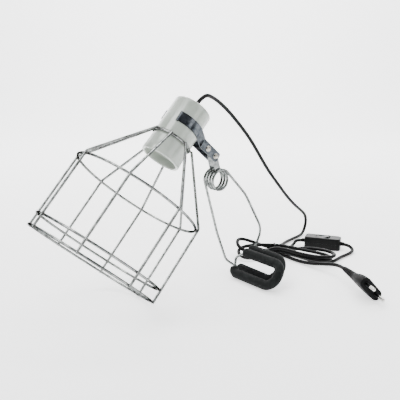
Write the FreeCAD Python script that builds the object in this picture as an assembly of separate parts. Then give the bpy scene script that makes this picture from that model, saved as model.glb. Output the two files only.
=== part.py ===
import FreeCAD, Part
import math
import os

from FreeCAD import Matrix, Placement, Rotation, Vector

# Wire guard heat lamp: a ceramic E27 holder with a wire cage, held by two strap halves on a
# sprung wire clamp, with a mains lead. Millimetres, +Z up, floor at Z = 0. The lamp's own
# frame has its origin at the centre of the cage's small ring and +Z towards the cord exit.

# ---- driving dimensions ----
TILT = 41.0                # lamp axis from the vertical, degrees
CAGE_WIRE = 3.0            # diameter of every cage wire
CAGE_RADIUS = 80.0         # centre line of the three large rings
WELD_GAP = 0.1
SMALL_RING_RADIUS = 24.1
SHOULDER_DEPTH = 77.0      # small ring to shoulder ring
LOWER_DEPTH = 156.0
MOUTH_DEPTH = 171.3483
WIRE_COUNT = 8
WIRE_PHASE = 2.0           # first long wire, degrees round the lamp axis

BODY_RADIUS = 24.4
BODY_TOP = 50.0
BORE_RADIUS = 14.6
BORE_TOP = 42.0
NECK_RADIUS = 20.3
NECK_DEPTH = 16.0
SKIRT_DEPTH = 27.0
CORD_HOLE = 4.6

STRAP_WIDTH = 12.5
STRAP_THICK = 1.2
STRAP_MID = 23.25          # height of the strap's centre line on the lamp axis
STRAP_HOOK_ANGLE = 142.0
STRAP_LEAVE_ANGLE = 56.0
TAB_OFFSET = 6.9           # middle of a tab's sheet from the centre plane
TAB_ROOT = 34.6
TAB_END = 67.0
PINCH_X = 46.0
PIVOT_X = 62.0
SCREW_RADIUS = 2.0
SCREW_HOLE = 2.1
PIVOT_CLEARANCE = 0.05

SPRING_WIRE = 3.3
COIL_RADIUS = 13.2
COIL_FROM_PIVOT = (8.5, -31.1)
COIL_REAR_Y = 9.63
COIL_FRONT_Y = -9.17
COIL_TURNS = 3
COIL_REAR_ANGLE = 195.5    # where the rear leg leaves the coil
COIL_FRONT_ANGLE = 45.6
LEG_ARC = 14.0             # part of the coil that turns with each leg, degrees
LEG_GAP = 1.5
EAR_OFFSET = 5.5
EAR_THICK = 1.0
EAR_WIDTH = 8.0

FOAM_RADIUS = 6.3
JAW_LOW = 6.5
JAW_HIGH = 30.5
JAW_BEND = 14.0
REAR_TIP_Y = -75.0
FRONT_TIP_Y = -88.0

CORD = 5.0
HANK_HEIGHT = 14.0
SWITCH_SIZE = (55.0, 24.0, 18.0)
SWITCH_CENTRE = (281.7, -4.7)
SWITCH_HEADING = -58.4
ROCKER_PIVOT_Z = 14.0
ROCKER_SWING = 7.0          # each way from level; the key rests at one end
PLUG_START = Vector(194.3, -114.0, 14.8)   # one edge of the rolled plug touches the floor
PLUG_ROLL = -48.0
PLUG_HEADING = -117.4
PLUG_LENGTH = 41.0
BOOT_LENGTH = 31.0
PIN_RADIUS = 2.0
PIN_SPACING = 18.6

# the row's origin, under the middle of the lamp and clamp, seen from the small ring's centre
ORIGIN = Vector(-17.15, -5.25, 0.0)

os.makedirs("parts", exist_ok=True)
X_AXIS = Vector(1, 0, 0)
Y_AXIS = Vector(0, 1, 0)
Z_AXIS = Vector(0, 0, 1)
made = {}


def turned(radius, angle, z=0.0):
    """Point at a radius and an angle in degrees round Z."""
    rad = math.radians(angle)
    return Vector(radius * math.cos(rad), radius * math.sin(rad), z)


def lamp_height():
    """Height of the small ring's centre when the cage's lowest wire end touches the floor."""
    tilt = math.radians(TILT)
    reach = (CAGE_RADIUS + CAGE_WIRE + WELD_GAP) * math.cos(math.radians(WIRE_PHASE)) + CAGE_WIRE / 2
    return math.sin(tilt) * reach + math.cos(tilt) * (MOUTH_DEPTH + 1.5)


LAMP = Placement(Vector(0, 0, lamp_height()), Rotation(Y_AXIS, TILT))


def save(name, shape, place=None):
    """Write one node, moved from the lamp's frame when a placement is given."""
    if place is not None:
        shape = moved(shape, place)
    shape = moved(shape, Placement(-ORIGIN, Rotation()))
    if not shape.isValid():
        print("INVALID", name)
    made[name] = shape
    shape.exportStep("parts/%s.step" % name)


def moved(shape, place):
    """Copy of a shape carried by a placement."""
    copy = shape.copy()
    copy.Placement = place.multiply(copy.Placement)
    return copy


def solid_of(shape):
    """The single solid inside a fused or swept shape."""
    return shape.Solids[0] if len(shape.Solids) == 1 else shape


def revolved(points, closed=True):
    """Solid of revolution about Z from (radius, height) corners."""
    corners = [Vector(r, 0, z) for r, z in points]
    if closed:
        corners.append(corners[0])
    face = Part.Face(Part.makePolygon(corners))
    return face.revolve(Vector(0, 0, 0), Z_AXIS, 360)


def arc_points(centre, radius, start, end, steps):
    """Corners of an arc in the (radius, height) plane."""
    points = []
    for i in range(steps + 1):
        angle = math.radians(start + (end - start) * i / steps)
        points.append((centre[0] + radius * math.cos(angle), centre[1] + radius * math.sin(angle)))
    return points


def rounded_path(points, radii=None, share=0.45, report=None):
    """Straight runs joined by tangent arcs. Without radii each arc is as large as its runs allow."""
    edges = []
    start = points[0]
    used = []
    for i in range(1, len(points) - 1):
        before = points[i] - points[i - 1]
        after = points[i + 1] - points[i]
        half = before.getAngle(after) / 2
        if radii is None:
            radius = share * min(before.Length, after.Length) / math.tan(half)
        else:
            radius = radii[i - 1]
        reach = radius * math.tan(half)
        into = before.normalize()
        out = after.normalize()
        first = points[i] - into * reach
        last = points[i] + out * reach
        inward = (out - into).normalize()
        middle = points[i] + inward * (radius / math.cos(half) - radius)
        edges.append(Part.LineSegment(start, first).toShape())
        edges.append(Part.Arc(first, middle, last).toShape())
        used.append(radius)
        start = last
    edges.append(Part.LineSegment(start, points[-1]).toShape())
    if report:
        print("%s bend radii:" % report, ", ".join("%.0f" % r for r in used))
    return Part.Wire(edges)


def tube(path, radius):
    """Round rod along a path."""
    edge = path.Edges[0]
    start = edge.valueAt(edge.FirstParameter)
    direction = edge.tangentAt(edge.FirstParameter)
    profile = Part.Wire(Part.Circle(start, direction, radius).toShape())
    return solid_of(path.makePipeShell([profile], True, False))


def rod(start, end, radius):
    """Straight round bar between two points."""
    span = end - start
    return Part.makeCylinder(radius, span.Length, start, span)


# ---- wire cage ----
def cage():
    rings = {
        "cage_small_ring": (SMALL_RING_RADIUS, 0.0),
        "cage_shoulder_ring": (CAGE_RADIUS, -SHOULDER_DEPTH),
        "cage_lower_ring": (CAGE_RADIUS, -LOWER_DEPTH),
        "cage_mouth_ring": (CAGE_RADIUS, -MOUTH_DEPTH),
    }
    for name, (radius, height) in rings.items():
        save(name, Part.makeTorus(radius, CAGE_WIRE / 2, Vector(0, 0, height)), LAMP)
    top = SMALL_RING_RADIUS + CAGE_WIRE + WELD_GAP
    wide = CAGE_RADIUS + CAGE_WIRE + WELD_GAP
    bend = SHOULDER_DEPTH - 2.0
    for i in range(WIRE_COUNT):
        angle = WIRE_PHASE + i * 360.0 / WIRE_COUNT
        corners = [turned(top, angle, 0.6), turned(wide, angle, -bend), turned(wide, angle, -MOUTH_DEPTH - 1.5)]
        save("cage_wire_%d" % (i + 1), tube(rounded_path(corners, [5.0]), CAGE_WIRE / 2), LAMP)


# ---- ceramic lamp holder ----
def holder():
    edge = 3.0
    seat = CAGE_WIRE / 2
    outer = [(BORE_RADIUS, -NECK_DEPTH), (NECK_RADIUS, -NECK_DEPTH), (NECK_RADIUS, seat), (BODY_RADIUS - 0.6, seat),
             (BODY_RADIUS, seat + 0.6)]
    outer += arc_points((BODY_RADIUS - edge, BODY_TOP - edge), edge, 0, 90, 6)
    outer += [(CORD_HOLE, BODY_TOP), (CORD_HOLE, BORE_TOP), (BORE_RADIUS, BORE_TOP)]
    body = revolved(outer)
    slot = Part.makeBox(8.0, 3.2, STRAP_WIDTH + 1.6, Vector(20.6, -1.5, STRAP_MID - STRAP_WIDTH / 2 - 0.8))
    slot.rotate(Vector(0, 0, 0), Z_AXIS, -STRAP_HOOK_ANGLE)
    body = body.cut(slot).cut(slot.mirror(Vector(0, 0, 0), Y_AXIS))
    save("porcelain_body", solid_of(body), LAMP)

    skirt = [(NECK_RADIUS + 0.1, -seat), (BODY_RADIUS - 1.4, -seat), (BODY_RADIUS - 0.3, -4.0), (BODY_RADIUS, -12.0),
             (BODY_RADIUS + 0.7, -21.0)]
    skirt += arc_points((BODY_RADIUS - 1.1, -SKIRT_DEPTH + 1.8), 1.8, 0, -180, 8)
    skirt += [(20.9, -NECK_DEPTH - 1.0), (NECK_RADIUS + 0.1, -NECK_DEPTH - 0.4)]
    save("porcelain_skirt", revolved(skirt), LAMP)

    # screw shell: a plain mouth, then a rolled thread form
    inside = [(13.3, -14.0), (13.3, -8.0)]
    outside = [(13.7, -8.0), (13.7, -14.0)]
    pitch = 3.6
    for i in range(4):
        base = -8.0 + i * pitch
        for share, depth in ((0.25, 0.0), (0.5, 0.55), (0.75, 0.55), (1.0, 0.0)):
            inside.append((13.3 - depth, base + share * pitch))
            outside.insert(0, (13.7 - depth, base + share * pitch))
    inside += [(13.3, 8.0)]
    outside.insert(0, (13.7, 8.0))
    save("screw_shell", revolved(inside + outside), LAMP)

    carrier = revolved([(3.2, 9.0), (14.3, 9.0), (14.3, 18.0), (3.2, 18.0)])
    for x in (-9.0, 9.0):
        carrier = carrier.cut(rod(Vector(x, 0, 8), Vector(x, 0, 19), 1.6))
    save("contact_carrier", solid_of(carrier), LAMP)

    spring = rounded_path([Vector(-8, 0, 8.6), Vector(-3, 0, 8.4), Vector(0, 0, 4.5), Vector(4.5, 0, 7.5)], [2.0, 1.5])
    start = Part.makePolygon([Vector(-8, -2.5, 8.2), Vector(-8, 2.5, 8.2), Vector(-8, 2.5, 8.8), Vector(-8, -2.5, 8.8),
                              Vector(-8, -2.5, 8.2)])
    save("centre_contact", solid_of(spring.makePipeShell([start], True, True)), LAMP)

    blocks = []
    screws = []
    leads = []
    for x in (-9.0, 9.0):
        inward = -1.0 if x > 0 else 1.0
        block = Part.makeBox(7, 8, 8, Vector(x - 3.5, -4, 18.3))
        block = block.cut(rod(Vector(x, -5, 22), Vector(x, -0.5, 22), 1.6))
        blocks.append(block.cut(rod(Vector(x + inward * 1.5, 0, 24), Vector(x + inward * 1.5, 0, 27), 1.1)))
        head = rod(Vector(x, -6.2, 22), Vector(x, -4.2, 22), 2.6)
        screws.append(head.fuse(rod(Vector(x, -4.3, 22), Vector(x, -0.9, 22), 1.5)).removeSplitter())
        lead = rounded_path([Vector(x + inward * 1.5, 0, 24.3), Vector(x + inward * 1.5, 0, 33),
                             Vector(-inward * 1.3, 0, 38), Vector(-inward * 1.3, 0, 43.8)], [4.0, 4.0])
        leads.append(tube(lead, 1.0))
    save("terminal_blocks", Part.makeCompound(blocks), LAMP)
    save("terminal_screws", Part.makeCompound(screws), LAMP)
    save("inner_leads", Part.makeCompound(leads), LAMP)

    bush = revolved([(CORD / 2 + 0.05, BORE_TOP - 1.5), (5.8, BORE_TOP - 1.5), (5.8, BORE_TOP - 0.1),
                     (CORD_HOLE - 0.05, BORE_TOP - 0.1), (CORD_HOLE - 0.05, BODY_TOP + 0.1), (6.4, BODY_TOP + 0.1),
                     (6.0, BODY_TOP + 1.6), (4.2, BODY_TOP + 4.0), (CORD / 2 + 0.05, BODY_TOP + 4.0)])
    save("cord_bush", bush, LAMP)


# ---- strap halves and their screws ----
def strap_half(sign):
    """One half of the strap: hook, wrap, tangent run and flat tab."""
    mid = BODY_RADIUS + 0.05 + STRAP_THICK / 2
    z = STRAP_MID
    hook = turned(21.4, -STRAP_HOOK_ANGLE, z)
    corner = turned(mid, -STRAP_HOOK_ANGLE, z)
    leave = turned(mid, -STRAP_LEAVE_ANGLE, z)
    middle = turned(mid, -(STRAP_HOOK_ANGLE + STRAP_LEAVE_ANGLE) / 2, z)
    root = Vector(TAB_ROOT, -TAB_OFFSET, z)
    end = Vector(TAB_END, -TAB_OFFSET, z)
    wrap = Part.Arc(corner, middle, leave).toShape()
    bend = rounded_path([leave, root, end], [4.0])
    path = Part.Wire([wrap] + bend.Edges)
    out = corner - Vector(0, 0, z)
    out.normalize()
    half = STRAP_WIDTH / 2
    ring = [corner + out * (STRAP_THICK / 2) + Vector(0, 0, half), corner - out * (STRAP_THICK / 2) + Vector(0, 0, half),
            corner - out * (STRAP_THICK / 2) - Vector(0, 0, half), corner + out * (STRAP_THICK / 2) - Vector(0, 0, half)]
    band = solid_of(path.makePipeShell([Part.makePolygon(ring + [ring[0]])], True, False))
    side = Z_AXIS.cross(out)
    lip = [hook + side * STRAP_THICK, hook, corner + out * (STRAP_THICK / 2),
           corner + out * (STRAP_THICK / 2) + side * STRAP_THICK]
    lip = [p - Vector(0, 0, half) for p in lip]
    lug = Part.Face(Part.makePolygon(lip + [lip[0]])).extrude(Vector(0, 0, STRAP_WIDTH))
    band = band.fuse(lug).removeSplitter()
    for x in (PINCH_X, PIVOT_X):
        band = band.cut(rod(Vector(x, -12, z), Vector(x, 0, z), SCREW_HOLE))
    ends = []
    for item in band.Edges:
        box = item.BoundBox
        if box.XMin > TAB_END - 0.1 and box.ZLength < 0.01 and box.YLength > 0.5:
            ends.append(item)
    band = band.makeFillet(3.2, ends)
    if sign > 0:
        band = band.mirror(Vector(0, 0, 0), Y_AXIS)
    return band


def tab_screw(x):
    """Domed slotted head on the near tab with its shank across both tabs."""
    face = -(TAB_OFFSET + STRAP_THICK / 2)
    head_height = 2.4
    head_radius = 3.9
    ball = (head_radius ** 2 + head_height ** 2) / (2 * head_height)
    dome = Part.makeSphere(ball, Vector(x, face - head_height + ball, STRAP_MID))
    dome = dome.common(rod(Vector(x, face - 5, STRAP_MID), Vector(x, face, STRAP_MID), head_radius))
    dome = dome.cut(Part.makeBox(9, 1.1, 0.9, Vector(x - 4.5, face - head_height - 0.2, STRAP_MID - 0.45)))
    shank = rod(Vector(x, face - 0.2, STRAP_MID), Vector(x, -face + 4.2, STRAP_MID), SCREW_RADIUS)
    return solid_of(dome.fuse(shank).removeSplitter())


def tab_nut(x):
    """Hexagon nut behind the far tab."""
    face = TAB_OFFSET + STRAP_THICK / 2
    corners = [Vector(x, face, STRAP_MID) + Vector(4.04 * math.cos(math.radians(60 * i)), 0,
                                                   4.04 * math.sin(math.radians(60 * i))) for i in range(6)]
    body = Part.Face(Part.makePolygon(corners + [corners[0]])).extrude(Vector(0, 3.2, 0))
    return body.cut(rod(Vector(x, face - 1, STRAP_MID), Vector(x, face + 5, STRAP_MID), SCREW_RADIUS + 0.02))


def strap():
    save("strap_front", strap_half(-1), LAMP)
    save("strap_rear", strap_half(1), LAMP)
    save("pinch_screw", tab_screw(PINCH_X), LAMP)
    save("pinch_nut", tab_nut(PINCH_X), LAMP)
    save("pivot_screw", tab_screw(PIVOT_X), LAMP)
    save("pivot_nut", tab_nut(PIVOT_X), LAMP)


# ---- spring clamp ----
PIVOT = LAMP.multVec(Vector(PIVOT_X, 0, STRAP_MID))
COIL = Vector(PIVOT.x + COIL_FROM_PIVOT[0], 0, PIVOT.z + COIL_FROM_PIVOT[1])


def on_coil(angle, y):
    """Point on the coil's centre line circle, angle in degrees from +X towards +Z."""
    rad = math.radians(angle)
    return Vector(COIL.x + COIL_RADIUS * math.cos(rad), y, COIL.z + COIL_RADIUS * math.sin(rad))


def stirrup():
    """U-shaped link that hangs from the pivot screw and passes under the coil's top turns."""
    reach = math.hypot(*COIL_FROM_PIVOT)
    half = EAR_WIDTH / 2
    base = reach - math.sqrt((COIL_RADIUS - SPRING_WIRE / 2) ** 2 - half ** 2) + 0.3
    outer = EAR_OFFSET + EAR_THICK / 2
    inner = EAR_OFFSET - EAR_THICK / 2
    solid = Part.makeBox(EAR_WIDTH, 2 * outer, base + EAR_THICK, Vector(-half, -outer, 0))
    solid = solid.makeFillet(0.9, [e for e in solid.Edges if e.BoundBox.ZMin > base and e.BoundBox.XLength > 5])
    for side in (-1, 1):
        solid = solid.fuse(rod(Vector(0, side * outer, 0), Vector(0, side * inner, 0), half))
    solid = solid.cut(Part.makeBox(4 * half, 2 * inner, base + half + 1, Vector(-2 * half, -inner, -half - 1)))
    solid = solid.cut(rod(Vector(0, -20, 0), Vector(0, 20, 0), SCREW_RADIUS + PIVOT_CLEARANCE))
    lean = math.degrees(math.atan2(COIL_FROM_PIVOT[0], -COIL_FROM_PIVOT[1]))
    place = Placement(PIVOT, Rotation(Y_AXIS, 180 - lean))
    save("clamp_link", solid_of(solid.removeSplitter()), place)


def coil():
    """Left-hand helix from the rear leg to the front leg."""
    start = COIL_REAR_ANGLE - LEG_ARC
    sweep = COIL_TURNS * 360 + COIL_REAR_ANGLE - COIL_FRONT_ANGLE - 2 * LEG_ARC
    length = COIL_REAR_Y - COIL_FRONT_Y
    helix = Part.makeHelix(length * 360 / sweep, length, COIL_RADIUS, 0, True)
    first = helix.Edges[0]
    profile = Part.Wire(Part.Circle(Vector(COIL_RADIUS, 0, 0), first.tangentAt(first.FirstParameter),
                                    SPRING_WIRE / 2).toShape())
    solid = solid_of(Part.Wire(helix.Edges).makePipeShell([profile], True, True))
    rad = math.radians(start)
    x = Vector(math.cos(rad), 0, math.sin(rad))
    z = Vector(0, -1, 0)
    y = z.cross(x)
    frame = Matrix(x.x, y.x, z.x, COIL.x, x.y, y.y, z.y, COIL_REAR_Y, x.z, y.z, z.z, COIL.z, 0, 0, 0, 1)
    save("spring_coil", solid, Placement(frame))


def leg(name, end_angle, coil_y, turn, corners, radii):
    """Leg wire: a short arc of the coil, the bowed leg and the jaw loop."""
    begin = on_coil(end_angle + turn * (LEG_ARC - LEG_GAP), coil_y)
    middle = on_coil(end_angle + turn * LEG_ARC / 2, coil_y)
    leave = on_coil(end_angle, coil_y)
    arc = Part.Arc(begin, middle, leave).toShape()
    path = rounded_path([leave] + corners, radii)
    wire = tube(Part.Wire([arc] + path.Edges), SPRING_WIRE / 2)
    save(name, wire)


def foam(name, corners, radii, inset):
    """Foam sleeve round a jaw loop, with the wire's bore, starting an inset before its first bend."""
    first = corners[1] + (corners[0] - corners[1]).normalize() * inset
    path = rounded_path([first] + corners[1:], radii)
    sleeve = tube(path, FOAM_RADIUS)
    bore = tube(path, SPRING_WIRE / 2 + 0.02)
    save(name, solid_of(sleeve.cut(bore)))


def clamp():
    stirrup()
    coil()
    rear_loop = [Vector(105, 3, JAW_LOW), Vector(102.5, REAR_TIP_Y, JAW_LOW), Vector(121.5, REAR_TIP_Y, JAW_HIGH)]
    rear = [Vector(79, COIL_REAR_Y, 56), Vector(95, COIL_REAR_Y, 15)] + rear_loop
    leg("rear_leg", COIL_REAR_ANGLE, COIL_REAR_Y, -1, rear + [Vector(121.5, -14, JAW_HIGH)],
        [60.0, 16.0, 9.0, JAW_BEND, JAW_BEND])
    foam("rear_foam", rear_loop + [Vector(121.5, -12, JAW_HIGH)], [JAW_BEND, JAW_BEND], -REAR_TIP_Y - 8.0)

    front_loop = [Vector(85, -19, JAW_LOW), Vector(86, FRONT_TIP_Y, JAW_LOW), Vector(105, FRONT_TIP_Y, JAW_HIGH)]
    front = [Vector(112, COIL_FRONT_Y, 108), Vector(144, COIL_FRONT_Y, 54), Vector(130, COIL_FRONT_Y, 28),
             Vector(97, COIL_FRONT_Y, 23)] + front_loop
    leg("front_leg", COIL_FRONT_ANGLE, COIL_FRONT_Y, 1, front + [Vector(105, -15, JAW_HIGH)],
        [60.0, 22.0, 13.0, 8.0, 8.0, JAW_BEND, JAW_BEND])
    foam("front_foam", front[3:] + [Vector(105, -19, JAW_HIGH)], [8.0, JAW_BEND, JAW_BEND], 7.5)


# ---- cord, hank, switch and plug ----
def exit_point(height):
    """Point on the lamp axis above the small ring."""
    return LAMP.multVec(Vector(0, 0, height))


REST = CORD / 2 + 0.1      # cord's centre line when it lies on the floor
DROP_ROUTE = [(72, 9, 235), (100, 16, 219), (128, 23, 198), (155, 29, 175), (178, 34, 150), (203, 41, 125),
              (231, 47, 100), (259, 54, 76), (284, 59, 57), (304, 64, 45), (320, 67, 34), (324.5, 68, 21.7),
              (319.5, 66, 9.9), (308.5, 61.5, REST), (292, 55, REST), (274, 51, REST), (254, 46, REST),
              (234, 37, REST), (217, 26, 5)]
SWITCH_IN_ROUTE = [(218, 4, 6), (226, 13, REST + 1), (238, 21, REST), (250, 28, REST + 0.6)]
SWITCH_OUT_ROUTE = [(301, -47.5, 4.5), (291, -53, REST), (277, -55.5, REST), (262, -57, REST), (249, -60, REST + 0.6),
                    (236, -61, 4)]
PLUG_ROUTE = [(200, -6, 6), (197, -21, REST), (197, -38, 3.0), (198, -57, 5.4), (200, -77, 10.0), (200.5, -92, 13.6)]


def route(points):
    return [Vector(*p) for p in points]


def cord_tube(name, points):
    path = rounded_path(points, report=name)
    solid = tube(path, CORD / 2)
    print("%s length %.0f mm, volume ratio %.4f" % (name, path.Length, solid.Volume / (math.pi * CORD ** 2 / 4 * path.Length)))
    save(name, solid)


def flat_place(centre, heading, height=0.0):
    return Placement(Vector(centre[0], centre[1], height), Rotation(Z_AXIS, heading))


def rounded_slab(length, width, height, radius, base=0.0):
    slab = Part.makeBox(length, width, height, Vector(-length / 2, -width / 2, base))
    upright = [e for e in slab.Edges if e.BoundBox.ZLength > height - 0.1]
    return slab.makeFillet(radius, upright)


def hank():
    """Outer form of the tied bundle, lobed at both ends and narrow at the tie."""
    outline = [(142, 22), (166, 12), (193, 11), (198, -30), (222, -68), (243, -62), (238, -20), (213, 29),
               (203, 52), (185, 66), (160, 62), (143, 42)]
    corners = [Vector(x, y, 0.2) for x, y in outline]
    base = Part.Face(Part.makePolygon(corners + [corners[0]]))
    body = base.extrude(Vector(0, 0, HANK_HEIGHT))
    upright = [e for e in body.Edges if e.BoundBox.ZLength > HANK_HEIGHT - 0.1]
    body = body.makeFillet(3.0, upright)
    save("hank", solid_of(body))


def inline_switch():
    length, width, height = SWITCH_SIZE
    place = flat_place(SWITCH_CENTRE, SWITCH_HEADING)
    split = height / 2
    base = rounded_slab(length, width, split - 0.05, 6.0)
    base = base.cut(rounded_slab(length - 4, width - 4, split, 4.5, 2.0))
    cover = rounded_slab(length, width, height - split, 6.0, split)
    rim = [e for e in cover.Edges if e.BoundBox.ZMin > height - 0.01]
    cover = cover.makeFillet(2.2, rim)
    cover = cover.cut(rounded_slab(length - 4, width - 4, height - split - 2, 4.5, split - 0.01))
    cover = cover.cut(Part.makeBox(22.4, 11.8, 6, Vector(-11.2, -5.9, height - 4)))
    pivot_bore = rod(Vector(0, 1 - width / 2, ROCKER_PIVOT_Z), Vector(0, width / 2 - 1, ROCKER_PIVOT_Z), 1.02)
    cover = cover.cut(pivot_bore)
    gates = []
    screws = []
    for side in (-1, 1):
        x, y = side * 17.0, side * 7.2
        base = base.fuse(rod(Vector(x, y, 1.5), Vector(x, y, split - 0.05), 2.9))
        base = base.cut(rod(Vector(x, y, -1), Vector(x, y, 3.0), 2.2)).cut(rod(Vector(x, y, 2), Vector(x, y, split), 1.3))
        cover = cover.fuse(rod(Vector(x, y, split), Vector(x, y, height - 1.5), 2.9))
        cover = cover.cut(rod(Vector(x, y, split - 1), Vector(x, y, height - 4), 1.22))
        head = rod(Vector(x, y, 1.2), Vector(x, y, 3.0), 2.1)
        head = head.cut(Part.makeBox(4.4, 0.7, 0.8, Vector(x - 2.2, y - 0.35, 1.0)))
        screws.append(solid_of(head.fuse(rod(Vector(x, y, 2.8), Vector(x, y, height - 5), 1.2)).removeSplitter()))
        hole = rod(Vector(side * (length / 2 + 1), 0, split), Vector(side * (length / 2 - 5), 0, split), CORD / 2 + 0.9)
        base = base.cut(hole)
        cover = cover.cut(hole)
        tip = Vector(side * (length / 2 + 5), 0, split)
        sleeve = Part.makeCone(CORD / 2 + 0.6, 3.2, 9.0, tip, Vector(-side, 0, 0))
        gates.append(sleeve.cut(rod(Vector(side * 45, 0, split), Vector(side * 20, 0, split), CORD / 2 + 0.03)))
    save("switch_base", solid_of(base), place)
    save("switch_cover", solid_of(cover), place)
    save("switch_cord_sleeves", Part.makeCompound(gates), place)
    save("switch_screws", Part.makeCompound(screws), place)

    key = Part.makeBox(20.0, 11.0, 7.0, Vector(-10.0, -5.5, ROCKER_PIVOT_Z - 2.0))
    dish = Part.makeCylinder(30.0, 14.0, Vector(0, -7, ROCKER_PIVOT_Z + 33.6), Y_AXIS)
    key = key.cut(dish).common(rod(Vector(0, -8, ROCKER_PIVOT_Z), Vector(0, 8, ROCKER_PIVOT_Z), 10.6))
    key = key.cut(rod(Vector(0, -8, ROCKER_PIVOT_Z), Vector(0, 8, ROCKER_PIVOT_Z), 1.05))
    key.rotate(Vector(0, 0, ROCKER_PIVOT_Z), Y_AXIS, -ROCKER_SWING)
    save("switch_rocker", solid_of(key), place)
    pin = rod(Vector(0, 1.1 - width / 2, ROCKER_PIVOT_Z), Vector(0, width / 2 - 1.1, ROCKER_PIVOT_Z), 1.0)
    save("rocker_pin", pin, place)

    contacts = []
    for side in (-1, 1):
        contacts.append(Part.makeBox(8, 5, 1.0, Vector(side * 12 - 4, -2.5, 2.2)))
        contacts.append(Part.makeBox(5, 5, 6, Vector(side * 19 - 2.5, -2.5, 2.2)))
    save("switch_contacts", Part.makeCompound(contacts), place)


def plug():
    place = Placement(PLUG_START, Rotation(Z_AXIS, PLUG_HEADING) * Rotation(X_AXIS, PLUG_ROLL))
    boot = Part.makeCone(3.4, 5.4, BOOT_LENGTH, Vector(0, 0, 0), X_AXIS)
    for i in range(6):
        x = 3.0 + i * 4.4
        core = rod(Vector(x - 1, 0, 0), Vector(x + 3, 0, 0), 3.0 + 0.24 * i)
        ring = rod(Vector(x, 0, 0), Vector(x + 1.7, 0, 0), 7).cut(core)
        boot = boot.cut(ring)
    boot = boot.cut(rod(Vector(-1, 0, 0), Vector(10, 0, 0), CORD / 2 + 0.02))
    save("plug_boot", solid_of(boot), place)

    sections = []
    face = BOOT_LENGTH + PLUG_LENGTH
    for x, half_width, half_thick in ((BOOT_LENGTH + 0.05, 5.6, 5.5), (BOOT_LENGTH + 10, 9.5, 6.3),
                                      (face - 13, 16.0, 6.9), (face, 17.4, 6.9)):
        flat = half_width - half_thick
        high_left, high_right = Vector(x, -flat, half_thick), Vector(x, flat, half_thick)
        low_left, low_right = Vector(x, -flat, -half_thick), Vector(x, flat, -half_thick)
        sections.append(Part.Wire([
            Part.LineSegment(high_left, high_right).toShape(),
            Part.Arc(high_right, Vector(x, half_width, 0), low_right).toShape(),
            Part.LineSegment(low_right, low_left).toShape(),
            Part.Arc(low_left, Vector(x, -half_width, 0), high_left).toShape()]))
    body = Part.makeLoft(sections, True, False)
    for y in (-PIN_SPACING / 2, PIN_SPACING / 2):
        body = body.cut(rod(Vector(face - 15, y, 0), Vector(face + 1, y, 0), PIN_RADIUS + 0.02))
    save("plug_body", solid_of(body), place)

    pins = []
    sleeves = []
    for side in (-1, 1):
        y = side * PIN_SPACING / 2
        core = rod(Vector(face - 14, y, 0), Vector(face + 12, y, 0), PIN_RADIUS - 0.25)
        tip = rod(Vector(face + 10, y, 0), Vector(face + 19, y, 0), PIN_RADIUS)
        tip = tip.makeFillet(1.2, [e for e in tip.Edges if e.BoundBox.XMin > face + 18.9])
        pins.append(solid_of(core.fuse(tip).removeSplitter()))
        sleeve = rod(Vector(face + 0.05, y, 0), Vector(face + 9.95, y, 0), PIN_RADIUS)
        sleeves.append(sleeve.cut(rod(Vector(face - 1, y, 0), Vector(face + 11, y, 0), PIN_RADIUS - 0.24)))
    save("plug_pins", Part.makeCompound(pins), place)
    save("plug_pin_sleeves", Part.makeCompound(sleeves), place)


def cord():
    cord_tube("cord_drop", [exit_point(44.0), exit_point(72.0)] + route(DROP_ROUTE))
    place = flat_place(SWITCH_CENTRE, SWITCH_HEADING)
    half = SWITCH_SIZE[2] / 2
    left = place.multVec(Vector(-SWITCH_SIZE[0] / 2 + 4, 0, half))
    left_out = place.multVec(Vector(-SWITCH_SIZE[0] / 2 - 13, 0, half))
    right = place.multVec(Vector(SWITCH_SIZE[0] / 2 - 4, 0, half))
    right_out = place.multVec(Vector(SWITCH_SIZE[0] / 2 + 10, 0, half))
    cord_tube("cord_switch_in", route(SWITCH_IN_ROUTE) + [left_out, left])
    cord_tube("cord_switch_out", [right, right_out] + route(SWITCH_OUT_ROUTE))
    ahead = Vector(math.cos(math.radians(PLUG_HEADING)), math.sin(math.radians(PLUG_HEADING)), 0)
    cord_tube("cord_plug_lead", route(PLUG_ROUTE) + [PLUG_START - ahead * 9.0, PLUG_START + ahead * 9.5])
    hank()


cage()
holder()
strap()
clamp()
cord()
inline_switch()
plug()

box = None
for name in sorted(made):
    if not name.startswith(("cord_drop", "cord_switch", "cord_plug", "hank", "switch", "rocker", "plug")):
        part_box = made[name].optimalBoundingBox(False)
        box = part_box if box is None else box.united(part_box)
print("pivot", PIVOT - ORIGIN, "coil", COIL - ORIGIN, "ring centre", LAMP.Base - ORIGIN)
print("object box", box)
print("nodes", len(made))
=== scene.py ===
import bmesh
import bpy
import math
from mathutils import Matrix, Vector, noise

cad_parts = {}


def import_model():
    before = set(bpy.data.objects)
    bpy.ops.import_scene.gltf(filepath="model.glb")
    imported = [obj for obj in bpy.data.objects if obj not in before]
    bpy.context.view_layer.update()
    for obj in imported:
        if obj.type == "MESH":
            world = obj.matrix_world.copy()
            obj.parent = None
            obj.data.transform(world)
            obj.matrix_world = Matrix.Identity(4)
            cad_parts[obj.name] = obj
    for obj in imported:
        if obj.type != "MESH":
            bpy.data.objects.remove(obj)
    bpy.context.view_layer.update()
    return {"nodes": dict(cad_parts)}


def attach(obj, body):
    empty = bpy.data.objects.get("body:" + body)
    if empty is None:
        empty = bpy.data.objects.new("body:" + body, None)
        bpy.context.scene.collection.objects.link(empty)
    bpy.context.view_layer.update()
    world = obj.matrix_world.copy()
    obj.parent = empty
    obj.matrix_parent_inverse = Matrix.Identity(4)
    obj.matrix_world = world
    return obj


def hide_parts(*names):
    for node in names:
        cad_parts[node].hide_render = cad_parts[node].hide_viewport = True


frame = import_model()
nodes = frame["nodes"]

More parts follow.
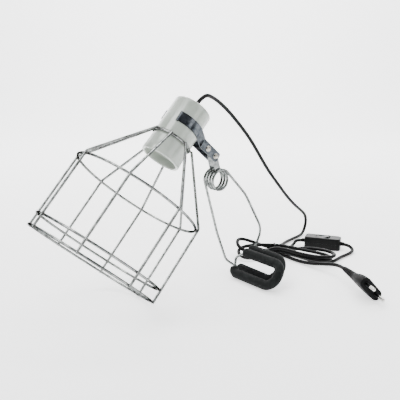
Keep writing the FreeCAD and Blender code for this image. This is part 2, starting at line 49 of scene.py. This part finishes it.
MM = 0.001
SHIFT = Vector((17.15, 5.25, 0.0))       # the design's own frame to the row's frame, mm
RING_HEIGHT = 185.92                     # middle of the small ring above the floor
TILT = math.radians(41.0)                # lamp axis from the vertical
CAMERA_HEADING = math.radians(37.68)     # the camera looks this far from +Y towards +X
LONG_WIRES = 8


def world(x, y, z):
    """Design millimetres to row metres."""
    return (Vector((x, y, z)) + SHIFT) * MM


def lamp(x, y, z):
    """Point in the lamp's own frame, mm, to row metres."""
    return world(x * math.cos(TILT) + z * math.sin(TILT), y,
                 RING_HEIGHT - x * math.sin(TILT) + z * math.cos(TILT))


# ---- camera ----
camera_data = bpy.data.cameras.new("camera")
camera_data.lens = 48.54
camera_data.sensor_width = 36.0
camera = bpy.data.objects.new("camera", camera_data)
bpy.context.scene.collection.objects.link(camera)
camera.location = world(-366.2, -529.2, 256.12)
camera.rotation_euler = (math.radians(77.5), 0.0, -CAMERA_HEADING)
bpy.context.scene.camera = camera


# ---- materials ----
def material(name, color, rough, metallic=0.0, coat=0.0, specular=0.5):
    """Principled material with its node tree and main shader."""
    mat = bpy.data.materials.new(name)
    mat.use_nodes = True
    shader = mat.node_tree.nodes["Principled BSDF"]
    shader.inputs["Base Color"].default_value = (*color, 1.0)
    shader.inputs["Roughness"].default_value = rough
    shader.inputs["Metallic"].default_value = metallic
    shader.inputs["Coat Weight"].default_value = coat
    shader.inputs["Coat Roughness"].default_value = 0.08
    shader.inputs["Specular IOR Level"].default_value = specular
    return mat, shader


def add(mat, kind, **values):
    """New node; each value goes to the input of that name, or else to the node's own setting."""
    node = mat.node_tree.nodes.new(kind)
    for key, value in values.items():
        if key in node.inputs:
            node.inputs[key].default_value = value
        else:
            setattr(node, key, value)
    return node


def link(mat, source, target):
    mat.node_tree.links.new(source, target)


def pattern(mat, scale, detail, rough):
    """Noise on the object's own coordinates, its scale in cells per metre, and those coordinates."""
    where = add(mat, "ShaderNodeTexCoord").outputs["Object"]
    grain = add(mat, "ShaderNodeTexNoise", Scale=scale, Detail=detail, Roughness=rough)
    link(mat, where, grain.inputs["Vector"])
    return grain.outputs["Fac"], where


def ramp(mat, source, stops, target):
    """Colour ramp from a value into a socket."""
    node = add(mat, "ShaderNodeValToRGB")
    while len(node.color_ramp.elements) < len(stops):
        node.color_ramp.elements.new(0.5)
    for element, (place, color) in zip(node.color_ramp.elements, stops):
        element.position = place
        element.color = (*color, 1.0)
    link(mat, source, node.inputs["Fac"])
    link(mat, node.outputs["Color"], target)


def spread(mat, source, low, high, target):
    """The middle of a noise's values mapped into a range and a socket."""
    node = add(mat, "ShaderNodeMapRange")
    node.inputs["From Min"].default_value = 0.3
    node.inputs["From Max"].default_value = 0.7
    node.inputs["To Min"].default_value = low
    node.inputs["To Max"].default_value = high
    link(mat, source, node.inputs["Value"])
    link(mat, node.outputs["Result"], target)


def bumps(mat, shader, sources):
    """Chain of bump nodes: (height value, strength, distance in metres)."""
    last = None
    for height, strength, distance in sources:
        node = add(mat, "ShaderNodeBump", Strength=strength, Distance=distance)
        link(mat, height, node.inputs["Height"])
        if last:
            link(mat, last, node.inputs["Normal"])
        last = node.outputs["Normal"]
    link(mat, last, shader.inputs["Normal"])


SCRATCHES = 0.00001                      # depth of a metal's finest marks, metres


def metal(name, dark, bright, rough_low, rough_high, dents=0.00004, edge=0.5):
    """Plated or bare metal. dents is a depth in metres; edge scales grazing reflections."""
    mat, shader = material(name, bright, rough_low, metallic=1.0)
    shader.inputs["Specular Tint"].default_value = (edge, edge, edge, 1.0)
    blotch, _ = pattern(mat, 160.0, detail=4.0, rough=0.6)
    fine, _ = pattern(mat, 1400.0, detail=2.0, rough=0.6)
    slow, _ = pattern(mat, 420.0, detail=2.0, rough=0.5)
    ramp(mat, blotch, [(0.34, dark), (0.62, bright)], shader.inputs["Base Color"])
    spread(mat, slow, rough_low, rough_high, shader.inputs["Roughness"])
    bumps(mat, shader, [(slow, 0.35, dents), (fine, 0.25, SCRATCHES)])
    return mat


def porcelain(name, low, high, rough, coat):
    """Fired ceramic, clouded and specked, with the slight waviness of a glaze."""
    mat, shader = material(name, high, rough, coat=coat)
    cloud, _ = pattern(mat, 38.0, detail=4.0, rough=0.55)
    orange, _ = pattern(mat, 260.0, detail=2.0, rough=0.4)
    speck, _ = pattern(mat, 1500.0, detail=1.0, rough=0.5)
    shade = add(mat, "ShaderNodeMix", data_type="RGBA", blend_type="MULTIPLY")
    shade.inputs["Factor"].default_value = 0.55
    base, over, result = shade.inputs[6], shade.inputs[7], shade.outputs[2]      # the colour sockets
    ramp(mat, cloud, [(0.32, low), (0.68, high)], base)
    ramp(mat, speck, [(0.20, (0.45, 0.44, 0.40)), (0.27, (1.0, 1.0, 1.0))], over)
    link(mat, result, shader.inputs["Base Color"])
    spread(mat, cloud, rough * 0.8, rough * 1.3, shader.inputs["Roughness"])
    bumps(mat, shader, [(orange, 0.28, 0.00012), (cloud, 0.25, 0.0006)])
    shader.inputs["Subsurface Weight"].default_value = 0.06
    shader.inputs["Subsurface Radius"].default_value = (0.002, 0.0016, 0.0012)
    return mat


def plastic(name, color, lift, rough_low, rough_high, grain, depth):
    """Moulded plastic, rubber or foam: grain in cells per metre, its depth in metres, faint wear."""
    mat, shader = material(name, color, rough_low, specular=0.10)
    wear, _ = pattern(mat, 120.0, detail=5.0, rough=0.62)
    fine, where = pattern(mat, grain, detail=3.0, rough=0.7)
    cells = add(mat, "ShaderNodeTexVoronoi", Scale=grain * 0.8)
    link(mat, where, cells.inputs["Vector"])
    ramp(mat, wear, [(0.30, color), (0.75, lift)], shader.inputs["Base Color"])
    spread(mat, fine, rough_low, rough_high, shader.inputs["Roughness"])
    bumps(mat, shader, [(cells.outputs["Distance"], 0.3, depth), (fine, 0.4, depth)])
    return mat


# painted reflection: the wires' and the spring's base colours are kept far darker than plated steel,
# so the bright floor they reflect reads dim, as dark surroundings would
wire_zinc = metal("wire_zinc", (0.10, 0.105, 0.101), (0.30, 0.312, 0.304),
                  rough_low=0.15, rough_high=0.28, edge=0.0)
weld_zinc = metal("weld_zinc", (0.07, 0.07, 0.068), (0.22, 0.22, 0.21),
                  rough_low=0.30, rough_high=0.46, dents=0.00015)
spring_bright = metal("spring_bright", (0.10, 0.108, 0.104), (0.29, 0.305, 0.298),
                      rough_low=0.12, rough_high=0.24, edge=0.0)
# painted reflection: the strap's base colour is kept near black, standing in for the dark
# surroundings its steel reflects
strap_painted_reflection = metal("strap_painted_reflection", (0.030, 0.036, 0.041), (0.11, 0.12, 0.132),
                    rough_low=0.14, rough_high=0.26, dents=0.00002)
link_plate = metal("link_plate", (0.13, 0.138, 0.138), (0.34, 0.35, 0.35),
                   rough_low=0.18, rough_high=0.32, dents=0.00003)
screw_nickel = metal("screw_nickel", (0.30, 0.28, 0.25), (0.62, 0.59, 0.53),
                     rough_low=0.20, rough_high=0.34)
pin_nickel = metal("pin_nickel", (0.38, 0.37, 0.35), (0.62, 0.61, 0.58),
                   rough_low=0.18, rough_high=0.30)
brass = metal("brass", (0.26, 0.17, 0.06), (0.55, 0.39, 0.17),
              rough_low=0.24, rough_high=0.40)
glaze = porcelain("glaze", (0.30, 0.335, 0.29), (0.42, 0.455, 0.41),
                  rough=0.22, coat=0.8)
biscuit = porcelain("biscuit", (0.30, 0.29, 0.25), (0.42, 0.41, 0.37),
                    rough=0.62, coat=0.0)
case_black = plastic("case_black", (0.0016, 0.0018, 0.0018), (0.0045, 0.0048, 0.0047),
                     rough_low=0.24, rough_high=0.38, grain=2600.0, depth=0.00003)
key_black = plastic("key_black", (0.0030, 0.0032, 0.0032), (0.0080, 0.0084, 0.0082),
                    rough_low=0.20, rough_high=0.32, grain=3000.0, depth=0.00001)
rubber_black = plastic("rubber_black", (0.0014, 0.0014, 0.0016), (0.0040, 0.0042, 0.0042),
                       rough_low=0.58, rough_high=0.76, grain=2200.0, depth=0.00003)
jacket = plastic("jacket", (0.0018, 0.0018, 0.0020), (0.0050, 0.0052, 0.0052),
                 rough_low=0.30, rough_high=0.46, grain=1800.0, depth=0.00002)
blue_core = plastic("blue_core", (0.03, 0.08, 0.30), (0.06, 0.14, 0.42),
                    rough_low=0.35, rough_high=0.5, grain=2000.0, depth=0.00001)
foam_black = plastic("foam_black", (0.0035, 0.0040, 0.0040), (0.0110, 0.0125, 0.0122),
                     rough_low=0.78, rough_high=0.96, grain=900.0, depth=0.00020)
foam_inputs = foam_black.node_tree.nodes["Principled BSDF"].inputs
foam_inputs["Sheen Weight"].default_value = 0.06
foam_inputs["Sheen Roughness"].default_value = 0.45


def dress(names, mat):
    """Material for carried-over CAD nodes."""
    for name in names:
        node = nodes[name]
        node.data.materials.clear()
        node.data.materials.append(mat)


rings = ["cage_small_ring", "cage_shoulder_ring", "cage_lower_ring", "cage_mouth_ring"]
wires = ["cage_wire_%d" % (i + 1) for i in range(LONG_WIRES)]
dress(rings + wires, wire_zinc)
dress(["porcelain_body", "porcelain_skirt"], glaze)
dress(["contact_carrier"], biscuit)
dress(["screw_shell", "centre_contact", "terminal_blocks", "switch_contacts"], brass)
dress(["strap_front", "strap_rear"], strap_painted_reflection)
dress(["clamp_link"], link_plate)
dress(["pinch_screw", "pivot_screw", "pinch_nut", "pivot_nut", "terminal_screws", "switch_screws",
       "rocker_pin"], screw_nickel)
dress(["rear_leg", "front_leg"], spring_bright)
dress(["switch_base", "switch_cover"], case_black)
dress(["switch_rocker"], key_black)
dress(["plug_body", "plug_boot", "switch_cord_sleeves", "cord_bush"], rubber_black)
dress(["plug_pin_sleeves"], case_black)
dress(["plug_pins"], pin_nickel)
dress(["inner_leads"], blue_core)


# ---- cords ----
SWITCH_CENTRE, SWITCH_TURN = (281.7, -4.7, 9.0), math.radians(-58.4)
PLUG_START, PLUG_TURN = (194.3, -114.0, 14.8), math.radians(-117.4)
CORD_RADIUS = 2.5


def ahead(start, turn, x):
    """Design point x mm from start along a level heading."""
    return (start[0] + math.cos(turn) * x, start[1] + math.sin(turn) * x, start[2])


def on_switch(x):
    """Point on the switch's long axis, x mm from its middle."""
    return ahead(SWITCH_CENTRE, SWITCH_TURN, x)


def on_plug(x):
    """Point on the plug's axis, x mm from the back of its boot."""
    return ahead(PLUG_START, PLUG_TURN, x)


def lamp_axis(height):
    """Design point on the lamp's axis above the small ring."""
    return (math.sin(TILT) * height, 0.0, RING_HEIGHT + math.cos(TILT) * height)


drop = [
    lamp_axis(44), lamp_axis(72), (72, 9, 235), (100, 16, 219), (128, 23, 198), (155, 29, 175),
    (178, 34, 150), (203, 41, 125), (231, 47, 100), (259, 54, 76), (284, 59, 57), (304, 64, 45),
    (320, 67, 34), (324.5, 68, 21.7), (319.5, 66, 9.9), (308.5, 61.5, 2.6), (292, 55, 2.6),
    (274, 51, 2.6), (254, 46, 2.6), (234, 37, 3.4), (219, 28, 6.4),
]
first_turn = [
    (206, 23, 7.7), (197, 28, 8.4), (189, 41, 11.6), (178, 51, 16.8), (166, 56, 21.2),
    (154, 53, 22.2), (147, 44, 17.2), (150, 34, 10.8), (162, 29, 8.4), (179, 24, 8.4),
    (195, 16, 7.8), (201, -2, 7.8), (203, -24, 7.7), (206, -46, 7.7), (214, -62, 7.7),
    (227, -66, 7.7), (237, -56, 7.8), (236, -40, 8.4), (228, -22, 9.4), (219, -4, 10.8),
    (209, 12, 12.6),
]
second_turn = [
    (199, 23, 12.9), (187, 34, 12.9), (173, 43, 12.6), (158, 47, 11.4), (145, 41, 9.6),
    (138, 28, 6.8), (144, 17, 4.2), (159, 14, 4.4), (176, 16, 7.6), (192, 14, 12.2),
    (198, -3, 12.9), (200, -24, 12.8), (204, -44, 12.8), (212, -61, 12.8), (225, -69, 12.6),
    (239, -64, 12.4), (243, -48, 12.5), (238, -30, 12.4), (231, -14, 11.2),
]
to_switch = [
    (224, -1, 8.0), (224, 8, 5.0), (230, 17, 3.2), (240, 23, 2.6), (251, 28, 3.2), on_switch(-40.5),
    on_switch(-23.5),
]
second_cord = [
    on_switch(23.5), on_switch(37.5), (301, -47.5, 4.5), (291, -53, 2.6), (277, -55.5, 2.6),
    (262, -57, 2.6), (249, -60, 2.6), (237, -63, 2.6), (224, -60, 2.6), (215, -47, 2.6),
    (213, -28, 2.6), (212, -8, 2.6), (206, 12, 2.6), (197, 26, 2.6), (185, 39, 2.6), (171, 44, 2.6),
    (160, 38, 2.6), (163, 27, 2.6), (177, 21, 2.6), (191, 16, 2.6), (199, 2, 2.6), (198, -12, 2.6),
    (197, -25, 2.6), (197, -40, 3.2), (198, -57, 5.4), (200, -77, 10.0), (200.5, -92, 13.6),
    on_plug(-9), on_plug(9.5),
]


def cord(name, points):
    """One open NURBS spline with a round section."""
    curve = bpy.data.curves.new(name, "CURVE")
    curve.dimensions = "3D"
    spline = curve.splines.new("NURBS")
    spline.points.add(len(points) - 1)
    for slot, point in zip(spline.points, points):
        slot.co = (*world(*point), 1.0)
    spline.order_u = 3
    spline.use_endpoint_u = True
    spline.resolution_u = 10
    curve.bevel_depth = CORD_RADIUS * MM
    curve.bevel_resolution = 6
    curve.materials.append(jacket)
    piece = bpy.data.objects.new(name, curve)
    bpy.context.scene.collection.objects.link(piece)
    return piece


lamp_cord = cord("lamp_cord", drop + first_turn + second_turn + to_switch)
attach(lamp_cord, "lamp")
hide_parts("cord_drop", "cord_switch_in", "hank")
plug_cord = cord("plug_cord", second_cord)
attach(plug_cord, "lamp")
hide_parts("cord_switch_out", "cord_plug_lead")


# ---- swept meshes ----
def swept(name, points, radius, sides, mat, closed=False, bore=0.0):
    """Tube along a line of row points.

    radius(share along, angle round, outward direction) gives its radius in metres.
    """
    count = len(points)
    tangents = []
    for i in range(count):
        a = points[(i - 1) % count if closed else max(i - 1, 0)]
        b = points[(i + 1) % count if closed else min(i + 1, count - 1)]
        tangents.append((b - a).normalized())
    side = tangents[0].orthogonal().normalized()
    mesh = bmesh.new()
    loops = []
    inner = []
    for i in range(count):
        if i:
            side = (side - tangents[i] * side.dot(tangents[i])).normalized()
        up = tangents[i].cross(side)
        loop = []
        hole = []
        for k in range(sides):
            angle = 2 * math.pi * k / sides
            direction = side * math.cos(angle) + up * math.sin(angle)
            reach = radius(i / (count - 1), angle, direction)
            loop.append(mesh.verts.new(points[i] + direction * reach))
            if bore:
                hole.append(mesh.verts.new(points[i] + direction * bore))
        loops.append(loop)
        inner.append(hole)
    spans = count if closed else count - 1
    for i in range(spans):
        j = (i + 1) % count
        for k in range(sides):
            m = (k + 1) % sides
            mesh.faces.new((loops[i][k], loops[i][m], loops[j][m], loops[j][k]))
            if bore:
                mesh.faces.new((inner[i][m], inner[i][k], inner[j][k], inner[j][m]))
    if not closed:
        if bore:
            for k in range(sides):
                m = (k + 1) % sides
                mesh.faces.new((loops[0][m], loops[0][k], inner[0][k], inner[0][m]))
                mesh.faces.new((loops[-1][k], loops[-1][m], inner[-1][m], inner[-1][k]))
        else:
            mesh.faces.new(list(reversed(loops[0])))
            mesh.faces.new(loops[-1])
    return finish_mesh(name, mesh, mat)


def finish_mesh(name, mesh, mat):
    """Smooth-shaded object made from a bmesh."""
    bmesh.ops.recalc_face_normals(mesh, faces=mesh.faces)
    for face in mesh.faces:
        face.smooth = True
    data = bpy.data.meshes.new(name)
    mesh.to_mesh(data)
    mesh.free()
    data.materials.append(mat)
    piece = bpy.data.objects.new(name, data)
    bpy.context.scene.collection.objects.link(piece)
    return piece


def bent(corners, radii, step):
    """Millimetre points along straight runs joined by arcs, a step apart on an arc."""
    line = [Vector(corners[0])]
    for i in range(1, len(corners) - 1):
        here = Vector(corners[i])
        into = (here - Vector(corners[i - 1])).normalized()
        out = (Vector(corners[i + 1]) - here).normalized()
        half = into.angle(out) / 2
        reach = radii[i - 1] * math.tan(half)
        start = here - into * reach
        centre = here + (out - into).normalized() * (radii[i - 1] / math.cos(half))
        arm = start - centre
        axis = into.cross(out).normalized()
        steps = max(4, int(radii[i - 1] * 2 * half / step))
        for k in range(steps + 1):
            line.append(centre + Matrix.Rotation(2 * half * k / steps, 3, axis) @ arm)
    line.append(Vector(corners[-1]))
    even = [line[0]]
    for a, b in zip(line, line[1:]):
        run = (b - a).length
        parts = max(1, int(run / (step * 1.5)))
        for k in range(1, parts + 1):
            even.append(a.lerp(b, k / parts))
    return even


# ---- spring coil ----
COIL = Vector((70.545, 0.0, 131.691))
COIL_RADIUS = 13.2
COIL_REAR_Y = 9.63
COIL_LENGTH = 18.8                       # along its axis, from the rear leg to the front leg
COIL_WIRE, TAIL_WIRE = 1.65, 1.5         # radii; a thinner tail runs on inside each leg's own arc
START, SWEEP, TAIL = 181.5, 1201.9, 12.0       # degrees
COIL_STEPS = 420
COIL_SIDES = 20
coil_line = []
for i in range(COIL_STEPS + 1):
    turned = -TAIL + (SWEEP + 2 * TAIL) * i / COIL_STEPS
    inside = min(max(turned, 0.0), SWEEP)
    angle = math.radians(START - turned)
    coil_line.append(world(COIL.x + COIL_RADIUS * math.cos(angle),
                           COIL_REAR_Y - COIL_LENGTH * inside / SWEEP,
                           COIL.z + COIL_RADIUS * math.sin(angle)))
tail_share = TAIL / (SWEEP + 2 * TAIL)


def coil_radius(share, angle, direction):
    in_tail = share < tail_share or share > 1 - tail_share
    return (TAIL_WIRE if in_tail else COIL_WIRE) * MM


coil = swept("spring_turns", coil_line, coil_radius, COIL_SIDES, spring_bright)
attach(coil, "clamp")
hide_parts("spring_coil")

# ---- foam sleeves ----
LOW, HIGH, REAR_TIP, FRONT_TIP = 6.5, 30.5, -75.0, -88.0       # the jaw loops' levels and ends
JAW_BEND = 14.0
FOAM_RADIUS = 6.25
FOAM_BORE = 1.55                         # under the wire's radius, so no gap shows round the wire
FOAM_STEP = 0.9                          # between a sleeve's sections round a bend; wider on a run
FOAM_SIDES = 72
WINDOW = 3                               # sections each side that a bend is averaged over
SWELL, SWELL_SCALE = 0.13, 0.11          # slow unevenness of the outside
PORES, PORE_SCALE = 0.05, 0.9
CREASE, CREASE_WAVE = 0.30, 0.32         # mean depth inside a bend, and its swing
CREASE_PITCH = 0.75                      # radians per unit of run
FULL_CREASE = 0.25                       # offset from straight at which the creases are full
SEAM_ANGLE, SEAM_WIDTH, SEAM_DEPTH = 2.4, 0.07, 0.42      # radians round the sleeve, and mm
END_RUN, END_DROP = 1.6, 0.9             # rounding of a sleeve's cut ends


def sleeve(name, corners, radii, inset, body, node, seed):
    """Foam tube on a jaw loop, creased inside its bends, starting an inset before the first one."""
    first = Vector(corners[1])
    first += (Vector(corners[0]) - first).normalized() * inset
    line = [world(*point) for point in bent([first] + corners[1:], radii, FOAM_STEP)]
    count = len(line)
    curl = []
    for i in range(count):
        a, b, c = line[max(i - WINDOW, 0)], line[i], line[min(i + WINDOW, count - 1)]
        curl.append((a + c - b * 2) * 0.5)
    softened = []
    for i in range(count):
        near = curl[max(i - WINDOW, 0):i + WINDOW + 1]
        softened.append(sum(near, Vector()) / len(near))

    def radius(share, angle, direction):
        i = min(int(share * (count - 1) + 0.5), count - 1)
        bend = softened[i]
        point = line[i] / MM
        value = FOAM_RADIUS
        value += SWELL * noise.noise(point * SWELL_SCALE + Vector((seed, 0, 0)) + direction * 0.8)
        value += PORES * noise.noise(point * PORE_SCALE + direction * 5.0)
        inward = direction.dot(bend.normalized()) if bend.length > 1e-6 else 0.0
        tight = min(bend.length / MM / FULL_CREASE, 1.0)
        if inward > 0:
            run = share * count * FOAM_STEP
            value -= tight * inward * (CREASE + CREASE_WAVE * math.sin(run * CREASE_PITCH))
        off_seam = angle - SEAM_ANGLE - seed
        off_seam = math.atan2(math.sin(off_seam), math.cos(off_seam))
        value -= SEAM_DEPTH * math.exp(-(off_seam / SEAM_WIDTH) ** 2)
        to_end = min(share, 1 - share) * count * FOAM_STEP
        if to_end < END_RUN:
            value -= END_DROP * (1 - to_end / END_RUN) ** 2
        return value * MM

    piece = swept(name, line, radius, FOAM_SIDES, foam_black, bore=FOAM_BORE * MM)
    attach(piece, body)
    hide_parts(node)


sleeve("rear_sleeve",
       [(105, 3, LOW), (102.5, REAR_TIP, LOW), (121.5, REAR_TIP, HIGH), (121.5, -12, HIGH)],
       [JAW_BEND, JAW_BEND], inset=67.0, body="rear_jaw", node="rear_foam", seed=0.0)
sleeve("front_sleeve",
       [(97, -9.17, 23), (85, -19, LOW), (86, FRONT_TIP, LOW), (105, FRONT_TIP, HIGH),
        (105, -19, HIGH)],
       [8.0, JAW_BEND, JAW_BEND], inset=7.5, body="front_jaw", node="front_foam", seed=1.3)

# ---- weld nuggets where wires cross rings ----
RINGS = ((24.1, 0.0), (80.0, -77.0), (80.0, -156.0), (80.0, -171.35))    # radius, height on the axis
FIRST_WIRE = 2.0                         # the first long wire's angle round the lamp axis, degrees
WELD_REACH = 1.55                        # half the way from a ring's centre line to a long wire's
WELD_HALF_DEPTH, WELD_HALF_LENGTH = 0.8, 2.0
WELD_LUMPS = 0.16
welds = bmesh.new()
for i in range(LONG_WIRES):
    turn = math.radians(FIRST_WIRE + 360.0 / LONG_WIRES * i)
    for ring_radius, depth in RINGS:
        reach = ring_radius + WELD_REACH
        place = lamp(math.cos(turn) * reach, math.sin(turn) * reach, depth)
        rim = lamp(math.cos(turn) * 100, math.sin(turn) * 100, depth)
        outward = (rim - lamp(0, 0, depth)).normalized()
        up = (lamp(0, 0, 1) - lamp(0, 0, 0)).normalized()
        round_ring = outward.cross(up)
        ball = bmesh.ops.create_icosphere(welds, subdivisions=3, radius=1.0)["verts"]
        for vert in ball:
            local = vert.co.copy()
            lump = 1.0 + WELD_LUMPS * noise.noise(local * 1.7 + Vector((i, depth, ring_radius)))
            offset = (outward * local.x * WELD_HALF_DEPTH + up * local.y * WELD_HALF_LENGTH
                      + round_ring * local.z * WELD_HALF_LENGTH)
            vert.co = place + offset * lump * MM
weld_piece = finish_mesh("cage_welds", welds, weld_zinc)
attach(weld_piece, "lamp")

# ---- tie round the waist of the hank ----
waist = Vector((199.0, 18.5, 7.8))
heading = Vector((0.87, -0.50, 0.0))     # along the bundle
across = Vector((0.50, 0.87, 0.0)).normalized()
TIE_STEPS, TIE_SIDES = 64, 14
TIE_HALF_WIDTH, TIE_HALF_HEIGHT = 7.6, 8.4
TIE_SQUARENESS = 0.62                    # 1 is an ellipse; less is nearer to a rectangle
TIE_WANDER = 0.9
TIE_HALF_THICK, TIE_EXTRA_WIDTH = 0.75, 0.5
TIE_LOWEST = 0.9                         # keeps the band off the floor
tie_line = []
for i in range(TIE_STEPS):
    angle = 2 * math.pi * i / TIE_STEPS
    c, s = math.cos(angle), math.sin(angle)
    wide = TIE_HALF_WIDTH * math.copysign(abs(c) ** TIE_SQUARENESS, c)
    tall = TIE_HALF_HEIGHT * math.copysign(abs(s) ** TIE_SQUARENESS, s)
    drift = TIE_WANDER * math.sin(angle * 2 + 0.4)
    point = waist + across * wide + Vector((0, 0, tall)) + heading * drift
    point.z = max(point.z, TIE_LOWEST)
    tie_line.append(world(*point))


def tie_radius(share, angle, direction):
    """A band, wider along the bundle than it is thick."""
    return (TIE_HALF_THICK + TIE_EXTRA_WIDTH * abs(direction.dot(heading))) * MM


tie = swept("hank_tie", tie_line, tie_radius, TIE_SIDES, jacket, closed=True)
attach(tie, "lamp")

# ---- floor, backdrop and light ----
FLOOR_NEAR, FLOOR_FAR, HALF_WIDTH = -3.0, 1.6, 4.5       # metres along and across the view
SWEEP_RADIUS, SWEEP_STEPS = 0.8, 12                      # the curve from floor to backdrop
BACKDROP_TOP = 4.0
FLOOR_DROP = 0.0004                                      # keeps the floor just under the object
forward = Vector((math.sin(CAMERA_HEADING), math.cos(CAMERA_HEADING), 0))
sideways = Vector((forward.y, -forward.x, 0))
profile = [(FLOOR_NEAR, 0.0), (FLOOR_FAR, 0.0)]
for i in range(1, SWEEP_STEPS + 1):
    angle = math.radians(90 * i / SWEEP_STEPS)
    profile.append((FLOOR_FAR + math.sin(angle) * SWEEP_RADIUS,
                    SWEEP_RADIUS - math.cos(angle) * SWEEP_RADIUS))
profile.append((FLOOR_FAR + SWEEP_RADIUS, BACKDROP_TOP))
floor_mesh = bmesh.new()
rows = []
for distance, height in profile:
    rise = Vector((0, 0, height - FLOOR_DROP))
    rows.append([floor_mesh.verts.new(forward * distance + sideways * side + rise)
                 for side in (-HALF_WIDTH, HALF_WIDTH)])
for a, b in zip(rows, rows[1:]):
    floor_mesh.faces.new((a[0], a[1], b[1], b[0]))
paper, paper_shader = material("paper", (0.90, 0.90, 0.90), 0.85)
paper_shader.inputs["Emission Color"].default_value = (1.0, 1.0, 1.0, 1.0)
paper_shader.inputs["Emission Strength"].default_value = 1.1
floor = finish_mesh("floor", floor_mesh, paper)


def area_light(name, place, target, size, power):
    """Rectangular light at a place, turned to a target; size in metres, power in watts."""
    data = bpy.data.lights.new(name, "AREA")
    data.shape = "RECTANGLE"
    data.size, data.size_y = size
    data.energy = power
    light = bpy.data.objects.new(name, data)
    bpy.context.scene.collection.objects.link(light)
    light.location = place
    light.rotation_euler = (target - place).to_track_quat("-Z", "Y").to_euler()


middle = Vector((0.05, 0.0, 0.1))        # what the lights point at, near the object's middle
area_light("key", middle - forward * 0.9 - sideways * 1.0 + Vector((0, 0, 1.5)), middle,
           size=(1.0, 1.0), power=34)
area_light("fill", middle - forward * 0.8 + sideways * 1.4 + Vector((0, 0, 0.8)), middle,
           size=(0.8, 1.2), power=8)
area_light("top", middle + forward * 0.3 + Vector((0, 0, 2.1)), middle, size=(2.0, 2.0), power=34)
area_light("backdrop", middle + forward * 0.9 + Vector((0, 0, 1.9)),
           middle + forward * 2.4 + Vector((0, 0, 0.5)), size=(2.6, 0.8), power=120)

sky = bpy.data.worlds.new("studio")
bpy.context.scene.world = sky
sky.use_nodes = True
background = sky.node_tree.nodes["Background"]
background.inputs["Color"].default_value = (0.92, 0.95, 1.0, 1.0)
background.inputs["Strength"].default_value = 0.40
